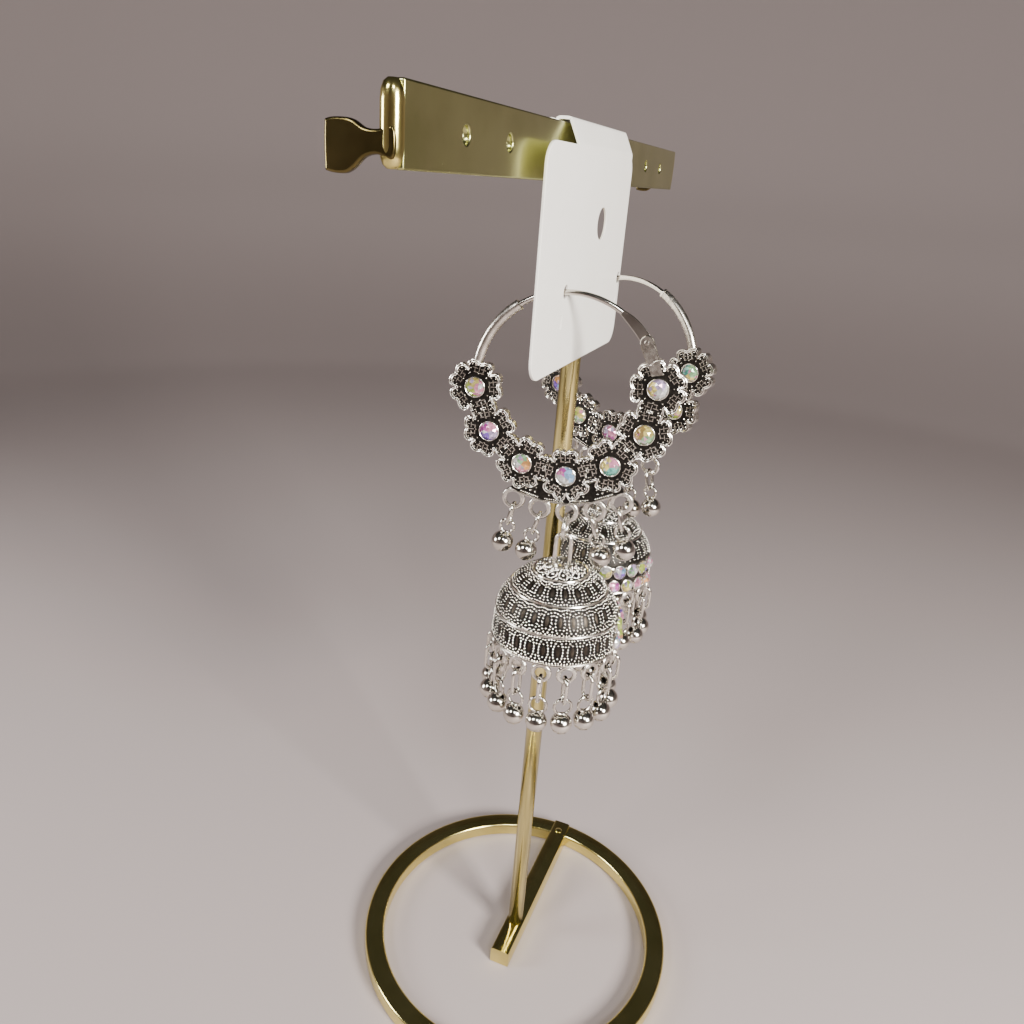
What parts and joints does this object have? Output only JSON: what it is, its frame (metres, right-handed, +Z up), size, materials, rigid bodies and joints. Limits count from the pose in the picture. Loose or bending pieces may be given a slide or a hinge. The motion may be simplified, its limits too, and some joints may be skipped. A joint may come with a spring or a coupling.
{
  "type": "pair of jhumka hoop earrings on a display card and T stand",
  "caption": "Pair of flower-set hoop earrings with hanging filigree bells and ball drops, hooked through a card on a small T-bar stand.",
  "frame": {"origin": "on the floor under the post, at the centre of the base ring", "axes": "+Z up along the post, +X along the top bar towards the base bar's long end, the card faces -Y"},
  "size_m": [0.143, 0.08, 0.1989],
  "materials": {
    "gold": "mirror-polished gold plating",
    "card": "warm white satin card",
    "hoop": "antiqued silver casting with set crystals",
    "bell": "antiqued silver filigree",
    "links": "polished silver wire",
    "balls": "polished silver balls and links",
    "ear_wire": "polished silver wire"
  },
  "bodies": {
    "stand_and_hoops": {"stand_base": "gold", "stand_post": "gold", "card": "card", "hoop_front": "hoop", "hoop_back": "hoop", "ear_wire_front": "ear_wire", "ear_wire_back": "ear_wire", "hoop_drop_front_1": "balls", "hoop_drop_front_2": "balls", "hoop_drop_front_3": "balls", "hoop_drop_front_4": "balls", "hoop_drop_back_1": "balls", "hoop_drop_back_2": "balls", "hoop_drop_back_3": "balls", "hoop_drop_back_4": "balls"},
    "bell_front_hanging": {"jump_ring_front": "links", "bell_front": "bell", "bell_drop_front_01": "balls", "bell_drop_front_02": "balls", "bell_drop_front_03": "balls", "bell_drop_front_04": "balls", "bell_drop_front_05": "balls", "bell_drop_front_06": "balls", "bell_drop_front_07": "balls", "bell_drop_front_08": "balls", "bell_drop_front_09": "balls", "bell_drop_front_10": "balls", "bell_drop_front_11": "balls", "bell_drop_front_12": "balls", "bell_drop_front_13": "balls", "bell_drop_front_14": "balls", "bell_drop_front_15": "balls", "bell_drop_front_16": "balls"},
    "bell_back_hanging": {"jump_ring_back": "links", "bell_back": "bell", "bell_drop_back_01": "balls", "bell_drop_back_02": "balls", "bell_drop_back_03": "balls", "bell_drop_back_04": "balls", "bell_drop_back_05": "balls", "bell_drop_back_06": "balls", "bell_drop_back_07": "balls", "bell_drop_back_08": "balls", "bell_drop_back_09": "balls", "bell_drop_back_10": "balls", "bell_drop_back_11": "balls", "bell_drop_back_12": "balls", "bell_drop_back_13": "balls", "bell_drop_back_14": "balls", "bell_drop_back_15": "balls", "bell_drop_back_16": "balls"}
  },
  "joints": [
    {"name": "bell_front_swing", "type": "hinge", "parent": "stand_and_hoops", "child": "bell_front_hanging", "pos_m": [-0.01621, -0.00719, 0.12925], "axis": [0.9895, 0.1444, 0], "range_deg": [-11, 6]},
    {"name": "bell_back_swing", "type": "hinge", "parent": "stand_and_hoops", "child": "bell_back_hanging", "pos_m": [0.0166, -0.006, 0.1291], "axis": [0.9681, -0.2504, 0], "range_deg": [-10, 10]}
  ]
}
